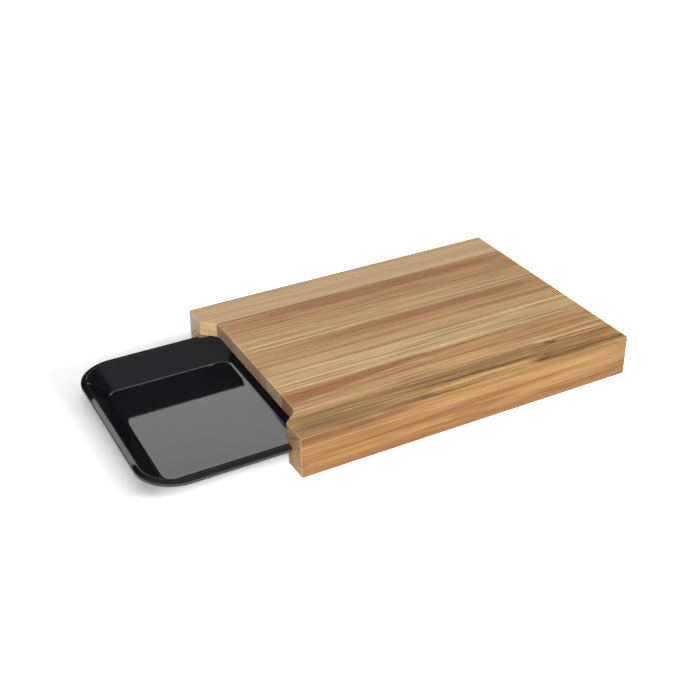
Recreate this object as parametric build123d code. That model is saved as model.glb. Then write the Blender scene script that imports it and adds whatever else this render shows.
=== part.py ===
from build123d import *

import os

# Wooden cutting board on two grooved side rails, with two black trays that slide in the grooves.
# Millimetres. The origin is the middle of the board's underside, on the worktop.
# +X runs along the board, away from its notched end. +Y is the back. +Z is up.

# --- the board ---
board_length = 380.0
board_width = 280.0
panel_thickness = 15.5
rail_height = 29.5
rail_width = 28.0
edge_round = 1.0

# widths of the panel's glued staves, from the front edge to the back edge
stave_widths = [33.0, 44.0, 32.5, 51.5, 37.0, 37.5, 44.5]
least_stave_width = 12.0

# --- the notch in the panel's left end, through which food is swept into the tray ---
notch_depth = 16.0
notch_side_margin = 31.0
notch_side_run = 14.0
notch_inner_radius = 12.0
notch_mouth_radius = 3.0

# --- the grooves that carry the trays ---
groove_depth = 8.5
groove_floor_height = 17.6
groove_headroom = 0.6
rim_rest_gap = 0.2

# --- the trays ---
tray_end_clearance = 0.5
tray_side_clearance = 0.5
tray_worktop_clearance = 1.2
tray_wall = 2.0
rim_width = 6.0
rim_drop = 5.0
rim_corner_radius = 42.0
rim_edge_round = 0.8
end_wall_run = 20.5
side_wall_run = 26.0
wall_top_round = 1.5
floor_corner_radius = 12.0
floor_edge_radius = 6.0

# how far the left tray is pulled out at rest
left_tray_pull = 142.0

# --- values that follow from the sizes above ---
board_height = rail_height + panel_thickness
groove_height = rim_rest_gap + rim_drop + groove_headroom
rim_bottom = groove_floor_height + rim_rest_gap
rim_top = rim_bottom + rim_drop
tray_length = board_length / 2 - 2 * tray_end_clearance
tray_width = board_width - 2 * (rail_width - groove_depth) - 2 * tray_side_clearance
floor_top = tray_worktop_clearance + tray_wall


def rounded_outline(length, width, radius, height):
    """A flat rectangle with rounded corners, centred on the Z axis at the given height."""
    return Plane.XY.offset(height) * RectangleRounded(length, width, radius)


def edges_at(shape, height):
    """The edges of a shape that lie wholly at one height."""
    return shape.edges().filter_by_position(Axis.Z, height, height)


# --- the panel ---
def notch_cut():
    """The space that the notch takes out of the panel's left end."""
    end_x = -board_length / 2
    mouth_y = board_width / 2 - notch_side_margin
    inner_y = mouth_y - notch_side_run
    inner_x = end_x + notch_depth
    outside_x = end_x - notch_depth
    outline = Polyline(
        (outside_x, -mouth_y),
        (end_x, -mouth_y),
        (inner_x, -inner_y),
        (inner_x, inner_y),
        (end_x, mouth_y),
        (outside_x, mouth_y),
        close=True,
    )
    space = extrude(make_face(outline), board_height)
    upright = space.edges().filter_by(Axis.Z)
    inner = upright.filter_by_position(Axis.X, inner_x - edge_round, inner_x + edge_round)
    return fillet(inner, notch_inner_radius)


def whole_panel():
    """The glued panel as one solid, before it is parted into its staves."""
    block = Pos(0, 0, rail_height) * Box(
        board_length,
        board_width,
        panel_thickness,
        align=(Align.CENTER, Align.CENTER, Align.MIN),
    )
    panel = block - notch_cut()
    mouth_y = board_width / 2 - notch_side_margin
    near_end = panel.edges().filter_by(Axis.Z).filter_by_position(
        Axis.X, -board_length / 2 - edge_round, -board_length / 2 + edge_round
    )
    mouth = near_end.filter_by_position(Axis.Y, -mouth_y - edge_round, mouth_y + edge_round)
    panel = fillet(mouth, notch_mouth_radius)
    corners = panel.edges().filter_by(Axis.Z).filter_by(
        lambda edge: abs(abs(edge.center().Y) - board_width / 2) < edge_round
    )
    panel = fillet(corners, edge_round)
    return fillet(edges_at(panel, board_height), edge_round)


def stave_bounds():
    """Front and back Y of each stave, filling the panel's width from the front."""
    bounds = []
    front = -board_width / 2
    back_edge = board_width / 2
    while back_edge - front > least_stave_width:
        width = stave_widths[len(bounds) % len(stave_widths)]
        back = front + width
        if back_edge - back < least_stave_width:
            back = back_edge
        bounds.append((front, back))
        front = back
    return bounds


def stave(panel, front, back):
    """The strip of the panel between two Y planes."""
    strip = Pos(0, (front + back) / 2, 0) * Box(
        board_length,
        back - front,
        board_height,
        align=(Align.CENTER, Align.CENTER, Align.MIN),
    )
    return panel & strip


# --- the rails ---
def rail(side):
    """A grooved rail under one long edge of the panel. side is -1 at the front and +1 at the back."""
    block = Pos(0, side * (board_width - rail_width) / 2, 0) * Box(
        board_length,
        rail_width,
        rail_height,
        align=(Align.CENTER, Align.CENTER, Align.MIN),
    )
    outer_y = side * board_width / 2
    outer_corners = block.edges().filter_by(Axis.Z).filter_by(
        lambda edge: abs(edge.center().Y - outer_y) < edge_round
    )
    block = fillet(outer_corners, edge_round)
    block = fillet(edges_at(block, 0), edge_round)
    inner_y = side * (board_width / 2 - rail_width)
    groove = Pos(0, inner_y, groove_floor_height) * Box(
        board_length + 2 * edge_round,
        2 * groove_depth,
        groove_height,
        align=(Align.CENTER, Align.CENTER, Align.MIN),
    )
    return block - groove


# --- the trays ---
def dish(inset, rim_radius, floor_radius, bottom, top):
    """A solid dish that narrows from the rim to the floor, inset from the rim's outer edge."""
    upper = rounded_outline(tray_length - 2 * inset, tray_width - 2 * inset, rim_radius, top)
    floor_length = tray_length - 2 * (inset + end_wall_run)
    floor_width = tray_width - 2 * (inset + side_wall_run)
    lower = rounded_outline(floor_length, floor_width, floor_radius, bottom)
    return loft([lower, upper], ruled=True)


def tray():
    """One moulded tray, centred on the Z axis: a rim with a turned-down edge round a flared dish."""
    rim_inner_radius = rim_corner_radius - rim_width
    slab = extrude(
        rounded_outline(tray_length, tray_width, rim_corner_radius, rim_bottom), rim_drop
    )
    slab = fillet(edges_at(slab, rim_top) + edges_at(slab, rim_bottom), rim_edge_round)
    hollow = extrude(
        rounded_outline(
            tray_length - 2 * tray_wall,
            tray_width - 2 * tray_wall,
            rim_corner_radius - tray_wall,
            rim_bottom - tray_wall,
        ),
        rim_drop,
    )
    shell_inset = rim_width - tray_wall
    shell = dish(
        shell_inset,
        rim_corner_radius - shell_inset,
        floor_corner_radius + tray_wall,
        tray_worktop_clearance,
        rim_top - tray_wall / 2,
    )
    shell = fillet(edges_at(shell, tray_worktop_clearance), floor_edge_radius + tray_wall)
    inside = dish(rim_width, rim_inner_radius, floor_corner_radius, floor_top, rim_top)
    inside = fillet(edges_at(inside, floor_top), floor_edge_radius)
    body = (slab - hollow) + shell - inside
    lip = edges_at(body, rim_top).filter_by(
        lambda edge: abs(edge.center().X) < tray_length / 2 - rim_width / 2
        and abs(edge.center().Y) < tray_width / 2 - rim_width / 2
    )
    return fillet(lip, wall_top_round)


def closed_tray_centre(side):
    """X of a closed tray's middle. side is -1 for the left tray and +1 for the right tray."""
    return side * board_length / 4


def build():
    """Every sub-part by its node name."""
    parts = {}
    panel = whole_panel()
    for number, (front, back) in enumerate(stave_bounds(), start=1):
        parts[f"top_stave_{number}"] = stave(panel, front, back)
    parts["front_rail"] = rail(-1)
    parts["back_rail"] = rail(1)
    shape = tray()
    parts["left_tray"] = Pos(closed_tray_centre(-1) - left_tray_pull, 0, 0) * shape
    parts["right_tray"] = Pos(closed_tray_centre(1), 0, 0) * shape
    return parts


os.makedirs("parts", exist_ok=True)
for node, solid in build().items():
    export_step(solid, f"parts/{node}.step")
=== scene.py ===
"""The looks of a wooden cutting board with two black trays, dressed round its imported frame."""

import logging
import math
from dataclasses import dataclass
from enum import Enum

import bmesh
import bpy
from mathutils import Matrix, Vector

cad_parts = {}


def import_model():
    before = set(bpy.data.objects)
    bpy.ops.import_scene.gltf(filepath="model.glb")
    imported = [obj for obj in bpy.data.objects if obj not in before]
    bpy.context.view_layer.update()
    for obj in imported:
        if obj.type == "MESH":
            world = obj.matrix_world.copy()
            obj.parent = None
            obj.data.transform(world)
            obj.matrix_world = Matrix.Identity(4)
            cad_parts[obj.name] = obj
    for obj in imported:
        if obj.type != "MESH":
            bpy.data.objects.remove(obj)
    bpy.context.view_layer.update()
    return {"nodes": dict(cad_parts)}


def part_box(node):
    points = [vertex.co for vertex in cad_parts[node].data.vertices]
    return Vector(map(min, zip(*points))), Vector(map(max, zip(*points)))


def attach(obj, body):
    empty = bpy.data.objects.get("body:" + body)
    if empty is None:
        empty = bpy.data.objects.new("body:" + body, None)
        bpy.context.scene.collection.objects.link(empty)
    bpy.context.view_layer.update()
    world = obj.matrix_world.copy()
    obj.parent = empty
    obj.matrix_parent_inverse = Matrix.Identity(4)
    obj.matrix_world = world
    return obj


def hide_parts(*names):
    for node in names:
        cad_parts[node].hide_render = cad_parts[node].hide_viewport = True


LOG = logging.getLogger("cutting_board")

MM = 0.001

Pair = tuple[float, float]
Triple = tuple[float, float, float]
Colour = tuple[float, float, float, float]
Node = bpy.types.Node
NodeTree = bpy.types.NodeTree
Socket = bpy.types.NodeSocket
Inputs = dict[str | int, object]

WHITE: Colour = (1.0, 1.0, 1.0, 1.0)
GRAIN_VALUES = ("pith_y", "pith_z", "lean", "ring_spacing", "waver", "ring_contrast", "fibre", "seed")
MARK_SHAPE = ("start", "end", "line_from", "line_to", "half_from", "half_to", "bow", "fade")
SWEEP_SIZES = ("length", "width", "corner_radius", "corner_taper", "end_run", "side_run")


def display_colour(red: int, green: int, blue: int) -> Colour:
    """Turn a colour as it is seen on a screen into a linear one.

    Args:
        red: red from 0 to 255.
        green: green from 0 to 255.
        blue: blue from 0 to 255.

    Returns:
        The linear colour, opaque.
    """

    def linear(level: int) -> float:
        """One channel of the colour, made linear."""
        share = level / 255
        return share / 12.92 if share <= 0.04045 else ((share + 0.055) / 1.055) ** 2.4

    return (linear(red), linear(green), linear(blue), 1.0)


def shown_name(field: str) -> str:
    """A field's name as a socket shows it."""
    return field.replace("_", " ").title()


def values_of(holder: object, fields: tuple[str, ...]) -> dict[str, object]:
    """The values of some fields, by name."""
    return {field: getattr(holder, field) for field in fields}


def new_object(name: str, data: bpy.types.ID) -> bpy.types.Object:
    """Make an object and put it in the scene.

    Args:
        name: the object's name.
        data: its mesh, lamp or camera.

    Returns:
        The object.
    """
    made = bpy.data.objects.new(name, data)
    bpy.context.scene.collection.objects.link(made)
    return made


class SocketKind(Enum):
    """The kinds of socket that the node groups here have."""

    NUMBER = "NodeSocketFloat"
    COUNT = "NodeSocketInt"
    COLOUR = "NodeSocketColor"
    VECTOR = "NodeSocketVector"
    GEOMETRY = "NodeSocketGeometry"
    MATERIAL = "NodeSocketMaterial"


@dataclass(frozen=True)
class Noise:
    """A noise pattern: how fast it changes along each axis, per millimetre, and its finer layers."""

    rates: Triple
    detail: float
    weight: float = 1.0
    seed: float = 0.0


class Graph:
    """A node tree, with short calls for wiring it."""

    def __init__(self, tree: NodeTree) -> None:
        """Keep the tree that the calls add to."""
        self.tree = tree

    def add(self, kind: str, inputs: Inputs | None = None, **settings: object) -> Node:
        """Add a node.

        Args:
            kind: the node's type name.
            inputs: what it is fed, where it is fed at once.
            settings: properties to set on the node.

        Returns:
            The new node.
        """
        node = self.tree.nodes.new(kind)
        for name, value in settings.items():
            setattr(node, name, value)
        self.feed(node, inputs or {})
        return node

    def feed(self, node: Node, inputs: Inputs) -> None:
        """Feed a node's inputs, by links or by constants.

        Args:
            node: the node to feed.
            inputs: other nodes' outputs or constants, by the input's name or number.
        """
        for key, value in inputs.items():
            if isinstance(value, Socket):
                self.tree.links.new(value, node.inputs[key])
            else:
                node.inputs[key].default_value = value

    def maths(self, operation: str, *terms: object, clamp: bool = False) -> Socket:
        """The result of a Math node, which clamp holds between 0 and 1."""
        inputs = dict(enumerate(terms))
        return self.add("ShaderNodeMath", inputs, operation=operation, use_clamp=clamp).outputs[0]

    def chain(self, operation: str, *terms: object) -> Socket:
        """Join outputs or numbers by one operation, from the first to the last.

        Args:
            operation: the operation of each Math node.
            terms: what is joined.

        Returns:
            The result.
        """
        result = terms[0]
        for term in terms[1:]:
            result = self.maths(operation, result, term)
        return result

    def total(self, *terms: object) -> Socket:
        """The sum of outputs or numbers."""
        return self.chain("ADD", *terms)

    def product(self, *terms: object) -> Socket:
        """The product of outputs or numbers."""
        return self.chain("MULTIPLY", *terms)

    def minus(self, *terms: object) -> Socket:
        """The first output or number less the others."""
        return self.chain("SUBTRACT", *terms)

    def weighed(self, *pairs: tuple[object, object]) -> Socket:
        """The sum of outputs, each times its weight."""
        return self.total(*[self.product(value, weight) for value, weight in pairs])

    def ease(self, value: object, low: object, high: object) -> Socket:
        """A smooth step from 0 to 1.

        Args:
            value: what is compared.
            low: where the step starts.
            high: where the step ends.

        Returns:
            The step's height.
        """
        inputs = {"Value": value, "From Min": low, "From Max": high}
        node = self.add("ShaderNodeMapRange", inputs, interpolation_type="SMOOTHSTEP")
        return node.outputs["Result"]

    def blend(self, share: object, first: object, second: object, kind: str = "MIX") -> Socket:
        """Two colours mixed by a kind of blend, with this share of the second one."""
        inputs = {0: share, 6: first, 7: second}
        return self.add("ShaderNodeMix", inputs, data_type="RGBA", blend_type=kind).outputs[2]

    def split(self, vector: Socket) -> tuple[Socket, Socket, Socket]:
        """The three parts of a vector."""
        return tuple(self.add("ShaderNodeSeparateXYZ", {0: vector}).outputs)

    def join(self, *parts: object) -> Socket:
        """A vector made from its three parts."""
        return self.add("ShaderNodeCombineXYZ", dict(enumerate(parts))).outputs[0]

    def noise(self, place: Socket, pattern: Noise, seed: object = None) -> Socket:
        """Noise that may be drawn out along an axis, centred on zero.

        Args:
            place: the point, in millimetres.
            pattern: how the noise is drawn out, and how many finer layers it has.
            seed: which noise it is, where the pattern's own seed doesn't say.

        Returns:
            The noise, from about -0.5 to 0.5.
        """
        scaled = self.add("ShaderNodeVectorMath", {0: place, 1: pattern.rates}, operation="MULTIPLY")
        chosen = pattern.seed if seed is None else seed
        inputs = {"Vector": scaled.outputs[0], "W": chosen, "Scale": 1.0, "Detail": pattern.detail}
        noise = self.add("ShaderNodeTexNoise", inputs, noise_dimensions="4D")
        return self.minus(noise.outputs[0], 0.5)

    def bump(self, shader: Node, height: Socket, strength: float, depth: float) -> None:
        """Roughen a shader's surface, where a height of 1 stands as high as depth in millimetres."""
        inputs = {"Strength": strength, "Distance": depth * MM, "Height": height}
        self.feed(shader, {"Normal": self.add("ShaderNodeBump", inputs).outputs[0]})

    def place_group(self, group: NodeTree, **values: object) -> dict[str, Socket]:
        """Place a group, feed its inputs by their names in small letters, and give its outputs."""
        inputs = {shown_name(name): value for name, value in values.items()}
        return dict(self.add("ShaderNodeGroup", inputs, node_tree=group).outputs.items())


SocketNames = dict[SocketKind, tuple[str, ...]]


def new_group(
    name: str, kind: str, inputs: SocketNames, outputs: SocketNames
) -> tuple[Graph, dict[str, Socket], Node]:
    """Start a node group with named sockets.

    Args:
        name: the group's name.
        kind: the tree's type name.
        inputs: the names of its inputs, by kind.
        outputs: the names of its outputs, by kind.

    Returns:
        The graph, what is given to the group, by name, and the node for its results.
    """
    tree = bpy.data.node_groups.new(name, kind)
    for direction, sockets in (("INPUT", inputs), ("OUTPUT", outputs)):
        for socket_kind, fields in sockets.items():
            for field in fields:
                tree.interface.new_socket(
                    name=shown_name(field), in_out=direction, socket_type=socket_kind.value
                )
    graph = Graph(tree)
    given = dict(graph.add("NodeGroupInput").outputs.items())
    return graph, given, graph.add("NodeGroupOutput")


@dataclass(frozen=True)
class PlankGrain:
    """Solid wood: growth rings round a pith, fibres along X and open pores."""

    sway: Noise = Noise((0.0045, 0.03, 0.03), 2.0)
    ripple: Noise = Noise((0.02, 0.12, 0.12), 2.0, weight=1.6)
    broad: Noise = Noise((0.005, 0.07, 0.07), 3.0, weight=1.5)
    streak: Noise = Noise((0.006, 0.30, 0.30), 2.0, weight=1.6)
    thread: Noise = Noise((0.012, 0.75, 0.75), 3.0, weight=2.9)
    hair: Noise = Noise((0.03, 2.6, 2.6), 2.0, weight=1.6)
    pore: Noise = Noise((0.10, 4.2, 4.2), 0.0)
    late_wood_rise: Pair = (0.30, 0.88)
    late_wood_fall: Pair = (0.90, 1.0)
    late_wood_weight: float = 0.40
    ring_tone_weight: float = 0.90
    fibre_weight: float = 0.5
    middle_shade: float = 0.38
    pore_edge: Pair = (0.16, 0.26)
    pore_strength: float = 0.30
    fibre_darkening: float = 0.65
    fibre_height: float = 0.5
    roughness: float = 0.50
    fibre_roughness: float = 0.06

    def group(self) -> NodeTree:
        """Build the node group.

        Returns:
            The group, with Colour, Fibre Level, Roughness and Height outputs.
        """
        graph, given, result = new_group(
            "plank_grain",
            "ShaderNodeTree",
            {
                SocketKind.VECTOR: ("place",),
                SocketKind.COLOUR: ("light", "dark"),
                SocketKind.NUMBER: GRAIN_VALUES,
            },
            {SocketKind.COLOUR: ("colour",), SocketKind.NUMBER: ("fibre_level", "roughness", "height")},
        )
        place, seed, dark = given["Place"], given["Seed"], given["Dark"]

        def layer(pattern: Noise) -> Socket:
            """One layer of the wood's noise."""
            return graph.noise(place, pattern, seed)

        x, y, z = graph.split(place)
        across = graph.minus(y, given["Pith Y"], graph.product(x, given["Lean"]))
        swayed = graph.maths("MULTIPLY_ADD", layer(self.sway), given["Waver"], across)
        depth = graph.minus(z, given["Pith Z"])
        distance = graph.maths("SQRT", graph.weighed((swayed, swayed), (depth, depth)))
        radius = graph.maths("MULTIPLY_ADD", layer(self.ripple), self.ripple.weight, distance)
        phase = graph.maths("DIVIDE", radius, given["Ring Spacing"])
        ring = graph.maths("FLOOR", phase)
        within = graph.minus(phase, ring)
        rise, fall = (graph.ease(within, *ends) for ends in (self.late_wood_rise, self.late_wood_fall))
        late_wood = graph.minus(rise, fall)
        which = graph.total(ring, seed)
        tone = graph.add("ShaderNodeTexWhiteNoise", {"W": which}, noise_dimensions="1D")
        ring_tone = graph.product(graph.minus(tone.outputs[0], 0.5), late_wood)
        rings = graph.weighed(
            (late_wood, self.late_wood_weight),
            (ring_tone, self.ring_tone_weight),
            (layer(self.broad), self.broad.weight),
        )
        fine = (self.streak, self.thread, self.hair)
        threads = graph.weighed(*[(layer(pattern), pattern.weight) for pattern in fine])
        fibres = graph.product(threads, given["Fibre"])
        shade = graph.weighed((rings, given["Ring Contrast"]), (fibres, self.fibre_weight))
        shade = graph.maths("ADD", shade, self.middle_shade, clamp=True)
        pores = graph.ease(layer(self.pore), *self.pore_edge)
        colour = graph.blend(shade, given["Light"], dark)
        pore_share = graph.product(pores, self.pore_strength)
        colour = graph.blend(pore_share, colour, graph.blend(1.0, colour, dark, "MULTIPLY"))
        results = {
            "Colour": colour,
            "Fibre Level": graph.maths("MULTIPLY_ADD", fibres, -self.fibre_darkening, 1.0),
            "Roughness": graph.maths("MULTIPLY_ADD", threads, self.fibre_roughness, self.roughness),
            "Height": graph.minus(graph.product(threads, self.fibre_height), pores),
        }
        graph.feed(result, results)
        return graph.tree


def grain_mark_group() -> NodeTree:
    """Build one long mark in the grain, a tapered and slightly bowed stroke.

    Returns:
        The group, with a Mask output.
    """
    soft_edge = (0.45, 1.35)
    bow_scale = 4.0
    graph, given, result = new_group(
        "grain_mark",
        "ShaderNodeTree",
        {SocketKind.NUMBER: ("along", "across", *MARK_SHAPE)},
        {SocketKind.NUMBER: ("mask",)},
    )
    gone = graph.minus(given["Along"], given["Start"])
    to_go = graph.minus(given["End"], given["Along"])
    share = graph.maths("DIVIDE", gone, graph.minus(given["End"], given["Start"]), clamp=True)
    rest = graph.minus(1.0, share)
    straight = graph.weighed((given["Line From"], rest), (given["Line To"], share))
    line = graph.total(straight, graph.product(share, rest, given["Bow"], bow_scale))
    half = graph.weighed((given["Half From"], rest), (given["Half To"], share))
    distance = graph.maths("ABSOLUTE", graph.minus(given["Across"], line))
    body = graph.minus(1.0, graph.ease(distance, *[graph.product(half, part) for part in soft_edge]))
    ends = [graph.ease(left, 0.0, given["Fade"]) for left in (gone, to_go)]
    graph.feed(result, {"Mask": graph.product(*ends, body)})
    return graph.tree


def edge_wear_group() -> NodeTree:
    """Build a mask that rises at the outer edges of a box, broken up by noise.

    Returns:
        The group, with a Mask output.
    """
    patches = Noise((0.05, 0.05, 0.05), 3.0, seed=3.0)
    graph, given, result = new_group(
        "edge_wear",
        "ShaderNodeTree",
        {
            SocketKind.VECTOR: ("place",),
            SocketKind.NUMBER: ("middle_x", "half_length", "half_width", "top", "wear_width"),
        },
        {SocketKind.NUMBER: ("mask",)},
    )
    x, y, z = graph.split(given["Place"])
    from_middle = graph.maths("ABSOLUTE", graph.minus(x, given["Middle X"]))
    from_end = graph.minus(given["Half Length"], from_middle)
    from_side = graph.minus(given["Half Width"], graph.maths("ABSOLUTE", y))
    from_top = graph.minus(given["Top"], z)
    edges = ((from_side, from_top), (from_end, from_top), (from_end, from_side))
    nearest = graph.chain("MINIMUM", *[graph.maths("MAXIMUM", *sides) for sides in edges])
    width = given["Wear Width"]
    reach = graph.maths("MULTIPLY_ADD", graph.noise(given["Place"], patches), width, nearest)
    graph.feed(result, {"Mask": graph.minus(1.0, graph.ease(reach, 0.0, width))})
    return graph.tree


@dataclass(frozen=True)
class OuterSize:
    """The box that the board or a tray fills, in millimetres."""

    half_length: float
    half_width: float
    top: float
    middle_x: float = 0.0


@dataclass(frozen=True)
class ShaderKit:
    """The node groups that the finishes share."""

    grain: NodeTree
    mark: NodeTree
    wear: NodeTree

    def worn(self, graph: Graph, place: Socket, outer: OuterSize, width: float) -> Socket:
        """The mask of the worn edges, which reach in by a width in millimetres."""
        return graph.place_group(self.wear, place=place, wear_width=width, **vars(outer))["Mask"]


@dataclass(frozen=True)
class Mark:
    """One long mark in the grain, in millimetres of the board's frame.

    It runs along X from start to end. Its middle line goes from line_from to line_to, in Y on the
    top and in Z on the front, and it reaches half_from to half_to to each side of that line.
    """

    colour: Colour
    strength: float
    start: float
    end: float
    line_from: float
    line_to: float
    half_from: float
    half_to: float
    bow: float = 0.0
    fade: float = 12.0


def object_place(graph: Graph) -> tuple[Socket, Socket]:
    """Read where on the piece a point lies.

    Args:
        graph: the material's graph.

    Returns:
        The place in millimetres, and the surface's direction.
    """
    texture = graph.add("ShaderNodeTexCoord").outputs
    inputs = {0: texture["Object"], "Scale": 1 / MM}
    scaled = graph.add("ShaderNodeVectorMath", inputs, operation="SCALE")
    return scaled.outputs[0], texture["Normal"]


def new_material(name: str) -> tuple[bpy.types.Material, Graph, Node]:
    """Start a material with one Principled shader.

    Args:
        name: the material's name.

    Returns:
        The material, its graph and its shader.
    """
    material = bpy.data.materials.new(name)
    material.use_nodes = True
    graph = Graph(material.node_tree)
    material.node_tree.nodes.clear()
    shader = graph.add("ShaderNodeBsdfPrincipled")
    graph.add("ShaderNodeOutputMaterial", {"Surface": shader.outputs[0]})
    return material, graph, shader


@dataclass(frozen=True)
class WoodFinish:
    """Oiled wood of one stave or rail, with its sizes in millimetres."""

    name: str
    light: Colour
    dark: Colour
    pith_y: float
    pith_z: float
    ring_spacing: float
    ring_contrast: float
    fibre: float
    seed: float
    waver: float = 10.0
    lean: float = 0.0
    marks: tuple[Mark, ...] = ()
    front_marks: tuple[Mark, ...] = ()
    front_facing: Pair = (0.5, 0.9)
    mark_waver: Noise = Noise((0.02, 0.2, 0.2), 3.0, weight=2.2, seed=5.0)
    glue_width: float = 0.35
    glue_strength: float = 0.28
    slant_facing: Pair = (0.35, 0.55)
    # painted light: the slanted faces are made about half again as pale, standing in for light that
    # falls on them
    slant_painted_light_tint: Colour = (1.56, 1.52, 1.44, 1.0)
    end_facing: Pair = (0.80, 0.97)
    # the end grain's greyer tone, with painted light that lifts the shaded end faces
    end_grain_and_painted_light_tint: Colour = (0.97, 1.06, 1.34, 1.0)
    wear_width: float = 1.6
    wear_strength: float = 0.30
    sheen_level: float = 0.36
    bump_strength: float = 0.35
    bump_depth: float = 0.12

    def material(self, kit: ShaderKit, board: OuterSize, node: str) -> bpy.types.Material:
        """Build the finish for one piece.

        Args:
            kit: the shared node groups.
            board: the board's outer size.
            node: the piece, whose sides are its glue lines.

        Returns:
            The material.
        """
        material, graph, shader = new_material(self.name)
        place, facing = object_place(graph)
        values = values_of(self, ("light", "dark", *GRAIN_VALUES))
        grain = graph.place_group(kit.grain, place=place, **values)
        colour = self._marked(graph, kit, place, facing, grain["Colour"])
        colour = graph.blend(1.0, colour, grain["Fibre Level"], "MULTIPLY")
        colour = self._cut_faces_and_painted_light(graph, facing, self._glued(graph, place, node, colour))
        worn = graph.product(kit.worn(graph, place, board, self.wear_width), self.wear_strength)
        inputs = {
            "Base Color": graph.blend(worn, colour, self.light),
            "Roughness": grain["Roughness"],
            "Specular IOR Level": self.sheen_level,
        }
        graph.feed(shader, inputs)
        graph.bump(shader, grain["Height"], self.bump_strength, self.bump_depth)
        return material

    def _marked(
        self, graph: Graph, kit: ShaderKit, place: Socket, facing: Socket, colour: Socket
    ) -> Socket:
        """Lay the marks over the grain.

        Args:
            graph: the material's graph.
            kit: the shared node groups.
            place: the point, in millimetres.
            facing: the surface's direction.
            colour: the grain's colour.

        Returns:
            The colour with its marks.
        """
        x, y, z = graph.split(place)
        forward = graph.ease(graph.product(graph.split(facing)[1], -1.0), *self.front_facing)
        unsteady = graph.noise(place, self.mark_waver, self.seed + self.mark_waver.seed)
        for marks, side, limits in ((self.marks, y, ()), (self.front_marks, z, (forward,))):
            across = graph.maths("MULTIPLY_ADD", unsteady, self.mark_waver.weight, side)
            for mark in marks:
                shape = values_of(mark, MARK_SHAPE)
                mask = graph.place_group(kit.mark, along=x, across=across, **shape)["Mask"]
                share = graph.product(mask, *limits, mark.strength)
                colour = graph.blend(share, colour, mark.colour)
        return colour

    def _glued(self, graph: Graph, place: Socket, node: str, colour: Socket) -> Socket:
        """Darken the hairline where this piece is glued to the next.

        Args:
            graph: the material's graph.
            place: the point, in millimetres.
            node: the piece.
            colour: the colour so far.

        Returns:
            The colour with its glue lines.
        """
        low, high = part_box(node)
        y = graph.split(place)[1]
        nearest = graph.maths("MINIMUM", graph.minus(y, low.y / MM), graph.minus(high.y / MM, y))
        line = graph.minus(1.0, graph.ease(nearest, 0.0, self.glue_width))
        return graph.blend(graph.product(line, self.glue_strength), colour, self.dark)

    def _cut_faces_and_painted_light(self, graph: Graph, facing: Socket, colour: Socket) -> Socket:
        """Paint light onto the slanted faces, which makes them paler, and tint the square end faces
        with the end grain's greyer tone and a painted light that lifts them.

        Args:
            graph: the material's graph.
            facing: the surface's direction.
            colour: the colour so far.

        Returns:
            The colour with painted light on its slanted faces and its tinted end faces.
        """
        endways = graph.maths("ABSOLUTE", graph.split(facing)[0])
        # painted light on the slanted faces; the end grain's tone with painted light on the square ends
        slanted, square = (
            graph.blend(1.0, colour, tint, "MULTIPLY")
            for tint in (self.slant_painted_light_tint, self.end_grain_and_painted_light_tint)
        )
        colour = graph.blend(graph.ease(endways, *self.slant_facing), colour, slanted)
        return graph.blend(graph.ease(endways, *self.end_facing), colour, square)


@dataclass(frozen=True)
class TrayFinish:
    """Gloss black moulded plastic."""

    name: str = "gloss_black_tray"
    base: Colour = display_colour(16, 16, 19)
    worn: Colour = display_colour(40, 40, 43)
    refraction: float = 1.5
    roughness: float = 0.02
    cloudiness: float = 0.02
    scuff_roughness: float = 0.0245
    clouds: Noise = Noise((0.03, 0.03, 0.03), 3.0, seed=8.0)
    scuffs: Noise = Noise((0.02, 0.6, 0.3), 4.0, seed=2.0)
    scuff_edge: Pair = (0.12, 0.30)
    wear_width: float = 1.4
    wear_strength: float = 0.35
    ripples: Noise = Noise((0.04, 0.04, 0.04), 1.0, seed=1.0)
    bump_strength: float = 0.10
    bump_depth: float = 0.05

    def material(self, kit: ShaderKit, tray: "TraySize") -> bpy.types.Material:
        """Build the finish.

        Args:
            kit: the shared node groups.
            tray: the tray that it covers.

        Returns:
            The material.
        """
        material, graph, shader = new_material(f"{self.name}_{tray.name}")
        place, _ = object_place(graph)
        worn = kit.worn(graph, place, tray.outer(), self.wear_width)
        cloudy = graph.noise(place, self.clouds)
        uneven = graph.maths("MULTIPLY_ADD", cloudy, self.cloudiness, self.roughness)
        scuffs = graph.ease(graph.noise(place, self.scuffs), *self.scuff_edge)
        scuffed = graph.product(graph.maths("MAXIMUM", scuffs, worn), self.scuff_roughness)
        inputs = {
            "Base Color": graph.blend(graph.product(worn, self.wear_strength), self.base, self.worn),
            "Roughness": graph.total(uneven, scuffed),
            "IOR": self.refraction,
        }
        graph.feed(shader, inputs)
        graph.bump(shader, graph.noise(place, self.ripples), self.bump_strength, self.bump_depth)
        return material


REDDISH = display_colour(152, 104, 67)
BROWN = display_colour(100, 69, 40)
OLIVE = display_colour(136, 106, 66)
STRAW = display_colour(218, 189, 146)
HONEY = display_colour(214, 168, 108)
AMBER = display_colour(184, 137, 76)
RUSSET = display_colour(136, 87, 44)

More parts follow.
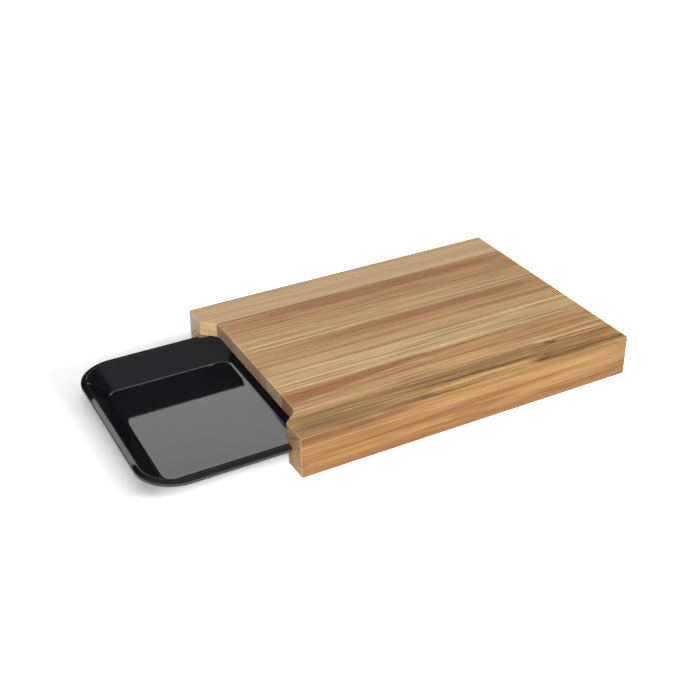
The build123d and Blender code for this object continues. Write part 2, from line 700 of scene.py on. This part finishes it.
DARK_OLIVE_STAVE = WoodFinish(
    name="dark_olive_stave",
    light=display_colour(188, 148, 100),
    dark=display_colour(120, 85, 50),
    pith_y=-150.0,
    pith_z=-6.0,
    ring_spacing=6.0,
    ring_contrast=0.62,
    fibre=0.80,
    seed=11.0,
    waver=16.0,
    lean=0.02,
    marks=(
        Mark(OLIVE, 0.80, -200, -80, -122, -126, 11.0, 7.0, fade=30.0),
        Mark(OLIVE, 0.55, -60, 95, -113, -113, 5.0, 5.0, fade=30.0),
        Mark(HONEY, 0.55, -55, 84, -131, -133, 4.5, 6.0, fade=20.0),
        Mark(REDDISH, 0.45, 78, 190, -116, -119, 4.0, 4.0),
        Mark(BROWN, 0.45, -186, -50, -109, -109, 0.8, 0.8),
        Mark(BROWN, 0.60, -150, -18, -115, -121, 0.8, 1.0),
        Mark(STRAW, 0.45, -140, -36, -117.5, -122.5, 0.5, 0.6),
        Mark(BROWN, 0.95, -28, 24, -121.5, -123, 1.3, 1.1, fade=9.0),
        Mark(BROWN, 0.65, 10, 88, -123, -123, 0.9, 0.6),
        Mark(BROWN, 0.55, 84, 190, -112.3, -112.8, 0.9, 0.7),
        Mark(BROWN, 0.50, 84, 190, -128, -129, 1.7, 0.9),
        Mark(BROWN, 0.85, 103, 122, -108.4, -110.5, 1.5, 1.6, fade=6.0),
        Mark(BROWN, 0.75, 77, 99, -134.5, -131.5, 2.6, 1.4, fade=7.0),
    ),
    front_marks=(
        Mark(AMBER, 0.88, -200, 200, 37, 37, 16.0, 16.0),
        Mark(RUSSET, 0.25, -270, -60, 35, 35, 8.0, 7.0, fade=70.0),
        Mark(RUSSET, 0.95, -230, -50, 43.5, 42, 11.0, 2.2, fade=40.0),
        Mark(BROWN, 0.40, -220, -150, 40, 42, 1.4, 1.8),
        Mark(BROWN, 0.65, -150, -108, 41.5, 41, 3.2, 2.2),
        Mark(HONEY, 0.60, -215, -60, 32.8, 33.4, 0.8, 0.6, fade=20.0),
        # painted highlight: a pale line just under the top front arris at the left end, standing for
        # light caught by the rounded edge
        Mark(HONEY, 0.55, -230, -90, 44.6, 44.6, 0.6, 0.5, fade=30.0),
        Mark(HONEY, 0.50, -70, 200, 34, 34, 3.6, 4.0, fade=50.0),
        Mark(RUSSET, 0.35, -90, 90, 37.5, 40, 0.6, 0.7, fade=30.0),
        Mark(OLIVE, 0.50, 40, 200, 42.6, 41.6, 0.9, 1.2),
    ),
)

TAPERING_TAN_STAVE = WoodFinish(
    name="tapering_tan_stave",
    light=display_colour(200, 161, 114),
    dark=display_colour(150, 108, 70),
    pith_y=-150.0,
    pith_z=20.0,
    ring_spacing=5.0,
    ring_contrast=0.50,
    fibre=0.70,
    seed=23.0,
    lean=0.05,
    marks=(
        Mark(REDDISH, 0.90, -182, -8, -76, -65, 11.5, 0.8, fade=4.0),
        Mark(BROWN, 0.40, -182, -24, -87, -68, 0.8, 0.9, fade=4.0),
        Mark(REDDISH, 0.50, -36, 110, -70, -66, 4.5, 1.6, fade=24.0),
        Mark(REDDISH, 0.45, 66, 190, -87, -86, 3.4, 5.0, fade=24.0),
        Mark(BROWN, 0.30, 56, 190, -98, -98, 0.7, 0.8),
        Mark(STRAW, 0.95, 92, 190, -103.6, -104.2, 0.8, 1.2),
        Mark(BROWN, 0.45, -110, 190, -106.2, -106.4, 0.6, 0.8),
    ),
)

PALE_LINED_STAVE = WoodFinish(
    name="pale_lined_stave",
    light=display_colour(208, 176, 131),
    dark=display_colour(160, 126, 86),
    pith_y=-220.0,
    pith_z=36.0,
    ring_spacing=3.4,
    ring_contrast=0.50,
    fibre=0.68,
    seed=37.0,
    waver=3.0,
    marks=(
        Mark(BROWN, 0.35, -120, 190, -31.1, -30.9, 0.5, 0.5),
        Mark(STRAW, 0.60, -174, 190, -33.0, -32.4, 1.0, 0.9),
        Mark(BROWN, 0.35, -170, -50, -46.2, -46.2, 0.6, 0.6),
        Mark(STRAW, 0.50, -174, 130, -50.0, -49.0, 1.0, 0.9),
        Mark(BROWN, 0.28, -110, 160, -54.0, -53.6, 0.6, 0.6),
        Mark(STRAW, 0.60, -174, 170, -60.4, -60.6, 1.1, 0.8),
    ),
)

HONEY_STAVE = WoodFinish(
    name="honey_stave",
    light=display_colour(198, 159, 113),
    dark=display_colour(148, 108, 70),
    pith_y=70.0,
    pith_z=10.0,
    ring_spacing=9.0,
    ring_contrast=0.45,
    fibre=0.34,
    seed=41.0,
    waver=14.0,
    marks=(
        Mark(REDDISH, 0.50, -120, 190, 11.0, 13.0, 8.0, 6.5, fade=40.0),
        Mark(BROWN, 0.30, -70, 190, 2.0, 14.0, 0.9, 0.9, bow=2.0),
        Mark(BROWN, 0.45, -60, 172, 16.6, 15.8, 0.8, 1.1),
        Mark(STRAW, 0.20, -174, 190, -20.0, -20.0, 8.0, 7.0),
    ),
)

LINED_HONEY_STAVE = WoodFinish(
    name="lined_honey_stave",
    light=display_colour(201, 167, 121),
    dark=display_colour(154, 118, 80),
    pith_y=-110.0,
    pith_z=30.0,
    ring_spacing=4.2,
    ring_contrast=0.45,
    fibre=0.50,
    seed=53.0,
    waver=5.0,
    marks=(
        Mark(STRAW, 0.70, -174, 190, 22.3, 22.5, 1.0, 0.9),
        Mark(STRAW, 0.45, -174, 190, 30.5, 29.5, 1.6, 1.4),
        Mark(BROWN, 0.30, -90, 165, 41.4, 41.0, 0.6, 0.6),
        Mark(BROWN, 0.22, -130, 150, 36.0, 35.6, 0.5, 0.5),
        Mark(BROWN, 0.40, -178, -140, 51.4, 51.0, 0.8, 0.6),
        Mark(REDDISH, 0.30, -174, 190, 52.0, 53.0, 4.0, 5.0),
    ),
)

REDDISH_STAVE = WoodFinish(
    name="reddish_stave",
    light=display_colour(191, 151, 108),
    dark=display_colour(146, 105, 69),
    pith_y=150.0,
    pith_z=12.0,
    ring_spacing=6.0,
    ring_contrast=0.45,
    fibre=0.42,
    seed=67.0,
    marks=(
        Mark(REDDISH, 0.65, -150, 190, 86.0, 84.0, 6.0, 8.0, fade=50.0),
        Mark(BROWN, 0.45, -178, -20, 94.2, 94.2, 0.9, 0.7),
        Mark(BROWN, 0.45, -174, -122, 83.4, 82.6, 0.7, 0.9),
        Mark(BROWN, 0.42, -90, 124, 78.2, 77.6, 1.2, 1.3),
    ),
)

PALE_SMOOTH_STAVE = WoodFinish(
    name="pale_smooth_stave",
    light=display_colour(206, 176, 138),
    dark=display_colour(174, 144, 108),
    pith_y=260.0,
    pith_z=-120.0,
    ring_spacing=14.0,
    ring_contrast=0.34,
    fibre=0.24,
    seed=79.0,
    waver=12.0,
)

WARM_FRONT_RAIL = WoodFinish(
    name="warm_front_rail",
    light=display_colour(192, 145, 84),
    dark=display_colour(132, 88, 42),
    pith_y=-90.0,
    pith_z=-30.0,
    ring_spacing=6.0,
    ring_contrast=0.55,
    fibre=0.65,
    seed=83.0,
    waver=18.0,
    lean=0.02,
    front_marks=(
        Mark(HONEY, 0.35, -190, -20, 12.5, 14.5, 2.4, 3.0),
        Mark(HONEY, 0.50, 20, 200, 18.0, 21.0, 4.4, 4.4, fade=40.0),
        Mark(RUSSET, 0.60, -200, -40, 18.0, 23.5, 1.0, 1.8),
        Mark(RUSSET, 0.70, -56, 64, 23.5, 26.5, 2.0, 1.3),
        Mark(HONEY, 0.40, 80, 230, 25.5, 26.0, 3.6, 4.0, fade=30.0),
        Mark(RUSSET, 0.45, 40, 190, 26.4, 29.0, 0.8, 0.6),
        Mark(REDDISH, 0.55, -150, -44, 6.0, 7.0, 2.6, 3.4, fade=24.0),
        Mark(RUSSET, 0.40, -30, 190, 7.0, 9.0, 1.0, 1.4, fade=30.0),
        Mark(REDDISH, 0.50, -200, 200, 1.5, 2.5, 4.0, 4.0),
        Mark(RUSSET, 0.50, 136, 200, 8.0, 13.0, 1.6, 2.0),
    ),
)

WARM_BACK_RAIL = WoodFinish(
    name="warm_back_rail",
    light=display_colour(208, 166, 116),
    dark=display_colour(160, 116, 74),
    pith_y=80.0,
    pith_z=-26.0,
    ring_spacing=6.0,
    ring_contrast=0.50,
    fibre=0.42,
    seed=97.0,
    waver=16.0,
)

WOOD_OF_PIECE = {
    "top_stave_1": DARK_OLIVE_STAVE,
    "top_stave_2": TAPERING_TAN_STAVE,
    "top_stave_3": PALE_LINED_STAVE,
    "top_stave_4": HONEY_STAVE,
    "top_stave_5": LINED_HONEY_STAVE,
    "top_stave_6": REDDISH_STAVE,
    "top_stave_7": PALE_SMOOTH_STAVE,
    "front_rail": WARM_FRONT_RAIL,
    "back_rail": WARM_BACK_RAIL,
}


@dataclass
class Woodwork:
    """The panel's staves and the two rails, which keep their own solids."""

    kit: ShaderKit
    board: OuterSize
    nodes: dict[str, bpy.types.Object]

    def dress(self) -> None:
        """Give every stave and rail its wood, and keep it out of what the trays mirror."""
        for node, finish in WOOD_OF_PIECE.items():
            slots = self.nodes[node].data.materials
            slots.clear()
            slots.append(finish.material(self.kit, self.board, node))
            self.nodes[node].visible_glossy = False
            LOG.info("dressed %s in %s", node, finish.name)


@dataclass(frozen=True)
class TraySize:
    """The sizes of one tray, in millimetres."""

    name: str
    middle_x: float
    length: float
    width: float
    bottom: float
    rim_top: float
    wall: float = 2.0
    rim_width: float = 6.0
    rim_drop: float = 5.0
    rim_fall: float = 1.0
    corner_radius: float = 42.0
    corner_taper: float = 24.0
    end_run: float = 20.0
    side_run: float = 25.5
    floor_round: float = 2.2
    lip_round: float = 1.1
    edge_round: float = 0.9
    under_rim_round: float = 1.2

    @classmethod
    def of_node(cls, node: str) -> "TraySize":
        """Read the tray's outer size from the frame.

        Args:
            node: the tray's node.

        Returns:
            Its sizes.
        """
        low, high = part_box(node)
        return cls(
            name=node,
            middle_x=(low.x + high.x) / 2 / MM,
            length=(high.x - low.x) / MM,
            width=(high.y - low.y) / MM,
            bottom=low.z / MM,
            rim_top=high.z / MM,
        )

    def outer(self) -> OuterSize:
        """The box that the tray fills."""
        return OuterSize(self.length / 2, self.width / 2, self.rim_top, self.middle_x)


def rounded_path(corners: list[tuple[Triple, float]], run: float, steps: int) -> list[Triple]:
    """Round the corners of a path of stations.

    Args:
        corners: each station (inset, share of the wall, height) and how far its round reaches.
        run: how far a whole wall runs in, which turns its share into a distance.
        steps: how many pieces each round has.

    Returns:
        The stations of the rounded path.
    """
    largest_share = 0.49

    def towards(here: Vector, there: Vector, reach: float) -> Vector:
        """The point a distance from here on the way to there."""
        way = there - here
        distance = math.hypot(way.x + way.y * run, way.z)
        return here + way * min(largest_share, reach / distance)

    path = [corners[0][0]]
    for (before, _), (middle, reach), (after, _) in zip(corners, corners[1:], corners[2:]):
        here = Vector(middle)
        start, end = (towards(here, Vector(other), reach) for other in (before, after))
        for step in range(steps + 1):
            share = step / steps
            rest = 1 - share
            path.append(tuple(start * rest**2 + here * 2 * share * rest + end * share**2))
    path.append(corners[-1][0])
    return path


def rounded_sweep_tree() -> NodeTree:
    """Build the tree that carries a profile round a rectangle with rounded corners.

    Each vertex of the incoming profile is a station: its X is a plain inset, its Y is the share
    of the flared wall that lies above it, and its Z is its height.

    Returns:
        The geometry node tree.
    """
    quarter_turn = math.pi / 2
    merge_distance = 0.001 * MM
    graph, given, result = new_group(
        "rounded_sweep",
        "GeometryNodeTree",
        {
            SocketKind.GEOMETRY: ("profile",),
            SocketKind.NUMBER: SWEEP_SIZES,
            SocketKind.COUNT: ("corner_steps",),
            SocketKind.MATERIAL: ("finish",),
        },
        {SocketKind.GEOMETRY: ("geometry",)},
    )
    profile = given["Profile"]
    stations = graph.add("GeometryNodeAttributeDomainSize", {0: profile}).outputs["Point Count"]
    in_a_corner = graph.total(given["Corner Steps"], 1.0)
    around = graph.product(in_a_corner, 4.0)
    counts = {"Vertices X": graph.total(around, 1.0), "Vertices Y": stations}
    grid = graph.add("GeometryNodeMeshGrid", counts)

    def whole_share(value: Socket, size: Socket) -> Socket:
        """How many whole sizes a whole number holds, safe from rounding."""
        return graph.maths("FLOOR", graph.maths("DIVIDE", graph.total(value, 0.5), size))

    index = graph.add("GeometryNodeInputIndex").outputs[0]
    column = whole_share(index, stations)
    station = graph.minus(index, graph.product(column, stations))
    turn = graph.maths("FLOORED_MODULO", column, around)
    corner = whole_share(turn, in_a_corner)
    step = graph.minus(turn, graph.product(corner, in_a_corner))
    turned = graph.total(corner, graph.maths("DIVIDE", step, given["Corner Steps"]))
    angle = graph.product(turned, quarter_turn)
    diagonal = graph.product(graph.total(corner, 0.5), quarter_turn)
    position = graph.add("GeometryNodeInputPosition").outputs[0]
    wanted = {"Geometry": profile, "Value": position, "Index": station}
    sample = graph.add("GeometryNodeSampleIndex", wanted, data_type="FLOAT_VECTOR")
    inset, share, height = graph.split(sample.outputs[0])
    taper = graph.product(share, given["Corner Taper"])
    radius = graph.minus(given["Corner Radius"], inset, taper)

    def reach(size: str, run: str, turning: str) -> Socket:
        """How far a point of the outline lies from the middle along one axis."""
        half = graph.product(given[size], 0.5)
        straight = graph.minus(half, inset, graph.product(share, given[run]), radius)
        side = graph.maths("SIGN", graph.maths(turning, diagonal))
        bend = graph.product(radius, graph.maths(turning, angle))
        return graph.maths("MULTIPLY_ADD", side, straight, bend)

    x, y = reach("Length", "End Run", "COSINE"), reach("Width", "Side Run", "SINE")
    steps = (
        ("GeometryNodeSetPosition", {"Position": graph.join(x, y, height)}),
        ("GeometryNodeMergeByDistance", {"Distance": merge_distance}),
        ("GeometryNodeSetShadeSmooth", {}),
        ("GeometryNodeRealizeInstances", {}),
        ("GeometryNodeSetMaterial", {"Material": given["Finish"]}),
    )
    shape = grid.outputs["Mesh"]
    for kind, inputs in steps:
        shape = graph.add(kind, {"Geometry": shape, **inputs}).outputs[0]
    graph.feed(result, {"Geometry": shape})
    return graph.tree


@dataclass
class Tray:
    """One moulded tray, which stands for its plainer solid."""

    size: TraySize
    finish: TrayFinish
    kit: ShaderKit
    sweep: NodeTree
    corner_steps: int = 24
    round_steps: int = 8
    flat_margin: float = 3.0
    flat_round: float = 0.1

    def profile(self) -> list[Triple]:
        """Work out the tray's section, from under its floor, round its rim, to its floor.

        Returns:
            The stations, in millimetres.
        """
        size = self.size
        floor = size.bottom + size.wall
        shell = size.rim_width - size.wall
        underside = size.rim_top - size.wall
        rim_edge = size.rim_top - size.rim_fall
        rim_bottom = size.rim_top - size.rim_drop
        small = size.edge_round
        centre = size.rim_width + size.floor_round + self.flat_margin
        corners = [
            ((centre + self.flat_margin, 1.0, size.bottom), 0.0),
            ((centre, 1.0, size.bottom), self.flat_round),
            ((shell, 1.0, size.bottom), size.floor_round),
            ((shell, 0.0, underside), size.under_rim_round),
            ((size.wall, 0.0, underside - size.rim_fall), small),
            ((size.wall, 0.0, rim_bottom), small),
            ((0.0, 0.0, rim_bottom), small),
            ((0.0, 0.0, rim_edge), size.lip_round),
            ((size.rim_width, 0.0, size.rim_top), size.lip_round),
            ((size.rim_width, 1.0, floor), size.floor_round),
            ((centre, 1.0, floor), self.flat_round),
            ((centre + self.flat_margin, 1.0, floor), 0.0),
        ]
        mean_run = (size.end_run + size.side_run) / 2
        return rounded_path(corners, mean_run, self.round_steps)

    def build(self) -> bpy.types.Object:
        """Sweep the profile, close the floor and put the tray where its solid is.

        Returns:
            The finished piece.
        """
        size = self.size
        stations = [Vector((inset * MM, share, height * MM)) for inset, share, height in self.profile()]
        line = bpy.data.meshes.new(f"{size.name}_profile")
        line.from_pydata(stations, [], [])
        maker = new_object(f"{size.name}_maker", line)
        modifier = maker.modifiers.new("sweep", "NODES")
        modifier.node_group = self.sweep
        values = {shown_name(field): getattr(size, field) * MM for field in SWEEP_SIZES}
        values["Corner Steps"] = self.corner_steps
        values["Finish"] = self.finish.material(self.kit, size)
        for item in self.sweep.interface.items_tree:
            if item.item_type == "SOCKET" and item.in_out == "INPUT" and item.name in values:
                modifier[item.identifier] = values[item.name]
        evaluated = maker.evaluated_get(bpy.context.evaluated_depsgraph_get())
        mesh = bpy.data.meshes.new_from_object(evaluated)
        bpy.data.objects.remove(maker)
        self._close(mesh)
        mesh.transform(Matrix.Translation((size.middle_x * MM, 0, 0)))
        return new_object(f"{size.name}_shell", mesh)

    def _close(self, mesh: bpy.types.Mesh) -> None:
        """Fill the floor and the underside, and face everything outwards.

        Args:
            mesh: the swept tray.
        """
        shape = bmesh.new()
        shape.from_mesh(mesh)
        open_edges = [edge for edge in shape.edges if edge.is_boundary]
        filled = bmesh.ops.holes_fill(shape, edges=open_edges, sides=0)
        for face in filled["faces"]:
            face.smooth = True
        bmesh.ops.recalc_face_normals(shape, faces=shape.faces)
        shape.to_mesh(mesh)
        shape.free()

    def mount(self, body: str) -> None:
        """Make the piece, let it ride and let it stand for its solid.

        Args:
            body: the body that it moves with.
        """
        piece = self.build()
        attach(piece, body)
        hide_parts(self.size.name)
        LOG.info("built %s with %d faces", piece.name, len(piece.data.polygons))


class LampRole(Enum):
    """What a lamp is there for."""

    LIGHT = "light"
    MIRROR = "mirror"


@dataclass(frozen=True)
class SoftBox:
    """One rectangular lamp, in metres, that lights things or is mirrored by the glossy trays."""

    name: str
    role: LampRole
    place: Triple
    aim: Triple
    width: float
    height: float
    radiance: float

    def light(self) -> None:
        """Hang the lamp and turn it to what it lights."""
        lamp = bpy.data.lights.new(self.name, "AREA")
        lamp.shape = "RECTANGLE"
        lamp.size = self.width
        lamp.size_y = self.height
        lamp.energy = self.radiance * self.width * self.height * math.pi
        holder = new_object(self.name, lamp)
        holder.location = self.place
        way = Vector(self.aim) - Vector(self.place)
        holder.rotation_euler = way.to_track_quat("-Z", "Y").to_euler()
        holder.visible_camera = False
        holder.visible_diffuse = self.role is LampRole.LIGHT
        holder.visible_glossy = self.role is LampRole.MIRROR
        LOG.info("hung %s", self.name)


@dataclass
class Studio:
    """The pale floor, the surroundings, the lamps and the camera."""

    floor_radius: float = 4.0
    floor_sides: int = 96
    floor_colour: Colour = (0.97, 0.97, 0.97, 1.0)
    floor_roughness: float = 0.9
    shaded_middle: Pair = (-0.0775, 0.04)
    shaded_half: Pair = (0.2675, 0.12)
    white_by: float = 0.055
    room_level: float = 0.05
    ceiling_level: float = 0.42
    ceiling_from: float = math.sin(math.radians(42))
    ceiling_by: float = math.sin(math.radians(62))
    horizon_from: float = math.sin(math.radians(5.0))
    horizon_by: float = math.sin(math.radians(7.0))
    camera_place: Triple = (-0.5452, -0.9180, 0.6487)
    camera_aim: Triple = (-0.0409, 0.0445, 0.0)
    camera_roll: float = math.radians(-0.87)
    camera_lens: float = 58.85
    sensor_width: float = 36.0

    def lamps(self) -> list[SoftBox]:
        """The lamps: three that light the board, and a long panel that the trays mirror."""
        light, mirror = LampRole.LIGHT, LampRole.MIRROR
        return [
            SoftBox("top_box", light, (0.0, 0.0, 2.6), (0, 0, 0), 3.2, 3.2, 1.25),
            SoftBox("right_box", light, (1.5, -2.0, 1.9), (0, 0, 0), 1.6, 1.4, 2.6),
            SoftBox("front_box", light, (-1.3, -2.08, 1.3), (0, 0, 0), 1.2, 1.0, 14.5),
            SoftBox("mirror_panel", mirror, (-0.1, 1.2, 0.915), (-0.1, 0, 0.915), 1.1, 0.23, 2.35),
        ]

    def build(self) -> None:
        """Set up the floor, the world, the lamps and the camera."""
        self._floor()
        self._world()
        for lamp in self.lamps():
            lamp.light()
        self._camera()
        bpy.context.scene.view_settings.view_transform = "Standard"

    def _seen_and_mirrored(self, graph: Graph) -> tuple[Socket, Socket]:
        """Tell rays that see things from light that falls on them.

        Args:
            graph: the graph to add it to.

        Returns:
            1 for rays from the camera or through glass, and 1 for rays from a mirror.
        """
        path = graph.add("ShaderNodeLightPath").outputs
        seen = graph.maths("MAXIMUM", path["Is Camera Ray"], path["Is Transmission Ray"])
        return seen, path["Is Glossy Ray"]

    def _floor(self) -> None:
        """Lay a round pale floor under the object."""
        shape = bmesh.new()
        bmesh.ops.create_circle(
            shape, cap_ends=True, segments=self.floor_sides, radius=self.floor_radius
        )
        mesh = bpy.data.meshes.new("floor")
        shape.to_mesh(mesh)
        shape.free()
        floor = new_object("floor", mesh)
        material, graph, shader = new_material("pale_floor")
        place = graph.add("ShaderNodeTexCoord").outputs["Object"]
        white = graph.maths("MAXIMUM", *self._seen_and_mirrored(graph))
        inputs = {
            "Base Color": self.floor_colour,
            "Roughness": self.floor_roughness,
            "Specular IOR Level": 0.0,
            "Emission Color": WHITE,
            "Emission Strength": graph.product(white, self._clear_of_object(graph, place)),
        }
        graph.feed(shader, inputs)
        mesh.materials.append(material)
        LOG.info("laid the floor")

    def _clear_of_object(self, graph: Graph, place: Socket) -> Socket:
        """Rise from 0 beside the object to 1 where the floor is plain white.

        Args:
            graph: the floor's graph.
            place: the point on the floor, in metres.

        Returns:
            The share of plain white.
        """
        gaps = []
        for part, middle, half in zip(graph.split(place), self.shaded_middle, self.shaded_half):
            away = graph.maths("ABSOLUTE", graph.minus(part, middle))
            gaps.append(graph.maths("MAXIMUM", graph.minus(away, half), 0.0))
        distance = graph.maths("SQRT", graph.weighed(*[(gap, gap) for gap in gaps]))
        return graph.ease(distance, 0.0, self.white_by)

    def _world(self) -> None:
        """Make the surroundings white where they are seen, and dim above in what mirrors them."""
        world = bpy.data.worlds.new("surroundings")
        bpy.context.scene.world = world
        world.use_nodes = True
        graph = Graph(world.node_tree)
        world.node_tree.nodes.clear()
        upward = graph.split(graph.add("ShaderNodeTexCoord").outputs["Generated"])[2]
        overhead = graph.ease(upward, self.ceiling_from, self.ceiling_by)
        spread = self.ceiling_level - self.room_level
        level = graph.maths("MULTIPLY_ADD", overhead, spread, self.room_level)
        low_down = graph.minus(1.0, graph.ease(upward, self.horizon_from, self.horizon_by))
        seen, mirrored = self._seen_and_mirrored(graph)
        white = graph.maths("MAXIMUM", seen, graph.product(mirrored, low_down))
        inputs = {"Color": WHITE, "Strength": graph.maths("MAXIMUM", level, white)}
        background = graph.add("ShaderNodeBackground", inputs)
        graph.add("ShaderNodeOutputWorld", {"Surface": background.outputs[0]})

    def _camera(self) -> None:
        """Place the camera where the photograph was taken from."""
        data = bpy.data.cameras.new("camera")
        data.lens = self.camera_lens
        data.sensor_width = self.sensor_width
        camera = new_object("camera", data)
        place = Vector(self.camera_place)
        ahead = (Vector(self.camera_aim) - place).normalized()
        level = ahead.cross(Vector((0, 0, 1))).normalized()
        above = level.cross(ahead)
        right = level * math.cos(self.camera_roll) + above * math.sin(self.camera_roll)
        up = right.cross(ahead)
        turn = Matrix((right, up, -ahead)).transposed()
        camera.matrix_world = Matrix.Translation(place) @ turn.to_4x4()
        bpy.context.scene.camera = camera
        LOG.info("placed the camera")


def main() -> None:
    """Load the frame, build the studio, the woodwork and the trays, and keep both boxes."""
    logging.basicConfig(level=logging.INFO, format="%(name)s: %(message)s")
    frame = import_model()
    panel_low, panel_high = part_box("top_stave_1")
    board = OuterSize(
        half_length=panel_high.x / MM,
        half_width=-panel_low.y / MM,
        top=panel_high.z / MM,
    )
    kit = ShaderKit(PlankGrain().group(), grain_mark_group(), edge_wear_group())
    Studio().build()
    Woodwork(kit, board, frame["nodes"]).dress()
    sweep = rounded_sweep_tree()
    for body in ("left_tray", "right_tray"):
        Tray(TraySize.of_node(body), TrayFinish(), kit, sweep).mount(body)


if __name__ == "__main__":
    main()
